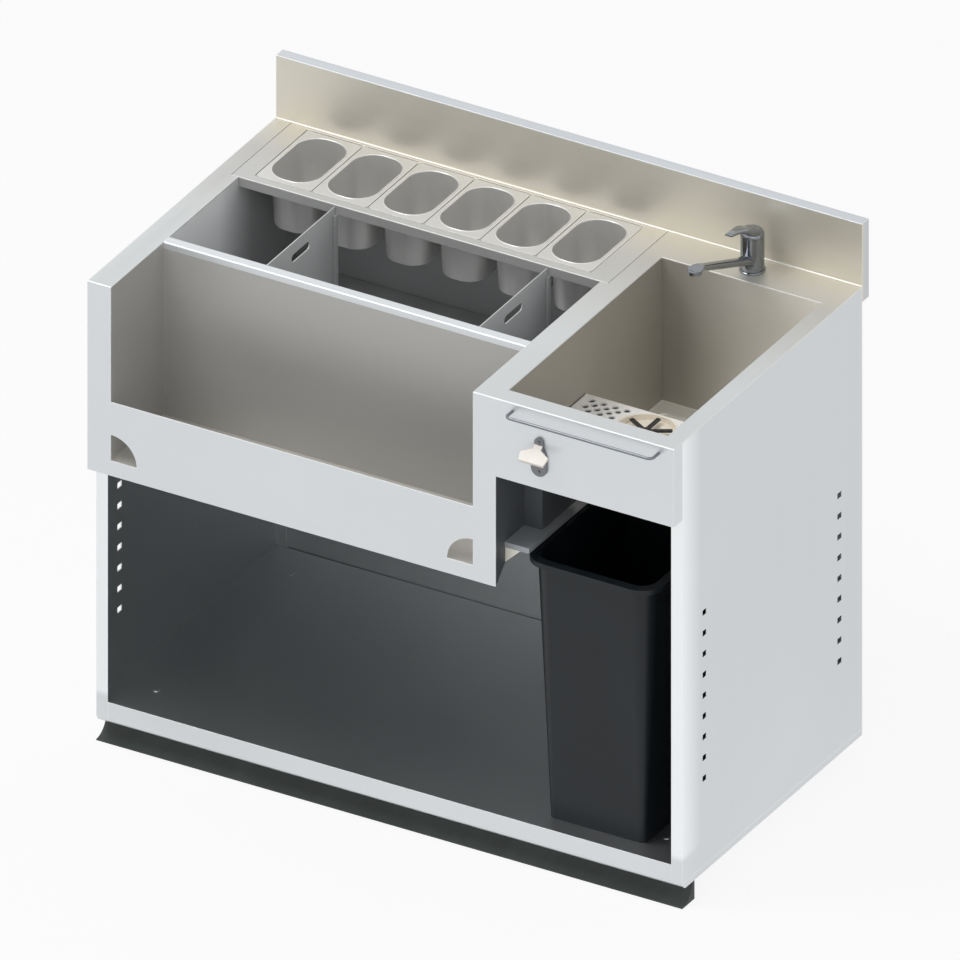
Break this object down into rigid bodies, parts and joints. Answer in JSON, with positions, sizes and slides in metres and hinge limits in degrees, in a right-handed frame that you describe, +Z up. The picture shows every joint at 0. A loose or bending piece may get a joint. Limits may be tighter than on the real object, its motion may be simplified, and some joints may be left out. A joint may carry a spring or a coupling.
{
  "type": "bar sink with ice bin",
  "caption": "Counter-height steel bar station: front bottle well, ice bin with lift-out dividers and pans behind, sink with glass rinser and mixer tap, open cabinet with waste bin.",
  "frame": {"origin": "on the floor under the middle of the outer box", "axes": "+X to the right seen from the front, +Y to the back, +Z up"},
  "size_m": [1.13, 0.683, 1.02],
  "materials": {
    "panel_steel": "brushed along the length",
    "deck_steel": "brushed along the length",
    "well_steel": "satin",
    "tank_steel": "satin, bright inside",
    "ledge_steel": "satin",
    "cabinet_steel": "satin",
    "sink_steel": "satin",
    "tray_steel": "satin",
    "dish_steel": "polished",
    "pan_steel": "polished",
    "foam": "foamed in place",
    "plinth_dark": "matt",
    "foot_rubber": "matt",
    "rail_steel": "polished wire",
    "opener_cast": "pressed and plated",
    "opener_grey": "pressed and plated",
    "service_dark": "dull, in shade",
    "brass": "machined",
    "tap_chrome": "polished",
    "star_plastic": "matt",
    "bin_plastic": "fine grain"
  },
  "bodies": {
    "station": {"backsplash": "deck_steel", "base_frame": "cabinet_steel", "bin_rim": "panel_steel", "cabinet_back": "cabinet_steel", "cabinet_floor": "cabinet_steel", "cabinet_side_left": "cabinet_steel", "cabinet_side_right": "cabinet_steel", "divider_guides": "tank_steel", "duct_shelf": "ledge_steel", "floor_plugs": "cabinet_steel", "front_panel": "panel_steel", "ice_drain": "sink_steel", "ice_false_bottom": "tank_steel", "ice_liner": "tank_steel", "insulation": "foam", "left_deck": "deck_steel", "levelling_feet": "foot_rubber", "module_side": "service_dark", "opener_hood": "opener_cast", "opener_plate": "opener_grey", "opener_screws": "opener_grey", "pan_frame": "deck_steel", "plinth": "plinth_dark", "rinser_dish": "dish_steel", "rinser_tray": "tray_steel", "rinser_valve": "brass", "service_duct": "service_dark", "sink_bowl": "sink_steel", "sink_deck": "deck_steel", "sink_waste": "sink_steel", "tank_casing": "cabinet_steel", "tap_base": "tap_chrome", "tap_inlets": "brass", "tap_shank": "brass", "towel_rail": "rail_steel", "well_liner": "well_steel"},
    "pan_1": {"garnish_pan_1": "pan_steel"},
    "pan_2": {"garnish_pan_2": "pan_steel"},
    "pan_3": {"garnish_pan_3": "pan_steel"},
    "pan_4": {"garnish_pan_4": "pan_steel"},
    "pan_5": {"garnish_pan_5": "pan_steel"},
    "pan_6": {"garnish_pan_6": "pan_steel"},
    "divider_left": {"ice_divider_left": "tank_steel"},
    "divider_right": {"ice_divider_right": "tank_steel"},
    "strainer": {"waste_strainer": "sink_steel"},
    "star": {"rinser_star": "star_plastic"},
    "spout": {"tap_spout": "tap_chrome", "tap_aerator": "tap_chrome"},
    "cartridge": {"tap_cartridge": "tap_chrome"},
    "lever": {"tap_lever": "tap_chrome"},
    "bin": {"waste_bin": "bin_plastic"}
  },
  "joints": [
    {"name": "pan_1_lift", "type": "slide", "parent": "station", "child": "pan_1", "axis": [0, 0, 1], "range_m": [0, 0.16]},
    {"name": "pan_2_lift", "type": "slide", "parent": "station", "child": "pan_2", "axis": [0, 0, 1], "range_m": [0, 0.16]},
    {"name": "pan_3_lift", "type": "slide", "parent": "station", "child": "pan_3", "axis": [0, 0, 1], "range_m": [0, 0.16]},
    {"name": "pan_4_lift", "type": "slide", "parent": "station", "child": "pan_4", "axis": [0, 0, 1], "range_m": [0, 0.16]},
    {"name": "pan_5_lift", "type": "slide", "parent": "station", "child": "pan_5", "axis": [0, 0, 1], "range_m": [0, 0.16]},
    {"name": "pan_6_lift", "type": "slide", "parent": "station", "child": "pan_6", "axis": [0, 0, 1], "range_m": [0, 0.16]},
    {"name": "divider_left_lift", "type": "slide", "parent": "station", "child": "divider_left", "axis": [0, 0, 1], "range_m": [0, 0.27]},
    {"name": "divider_right_lift", "type": "slide", "parent": "station", "child": "divider_right", "axis": [0, 0, 1], "range_m": [0, 0.27]},
    {"name": "strainer_lift", "type": "slide", "parent": "station", "child": "strainer", "axis": [0, 0, 1], "range_m": [0, 0.32]},
    {"name": "star_press", "type": "slide", "parent": "station", "child": "star", "axis": [0, 0, -1], "range_m": [0, 0.004], "stiffness_N_per_m": 400, "springref_m": -0.004},
    {"name": "spout_swing", "type": "hinge", "parent": "station", "child": "spout", "pos_m": [0.378, 0.2765, 0.92], "axis": [0, 0, 1], "range_deg": [-70, 70]},
    {"name": "lever_turn", "type": "hinge", "parent": "spout", "child": "cartridge", "pos_m": [0.378, 0.2765, 0.9666], "axis": [0, 0, 1], "range_deg": [-45, 45]},
    {"name": "lever_lift", "type": "hinge", "parent": "cartridge", "child": "lever", "pos_m": [0.378, 0.2968, 0.967], "axis": [-1, 0, 0], "range_deg": [0, 22]},
    {"name": "bin_slide", "type": "slide", "parent": "station", "child": "bin", "axis": [0, -1, 0], "range_m": [0, 0.45]}
  ]
}
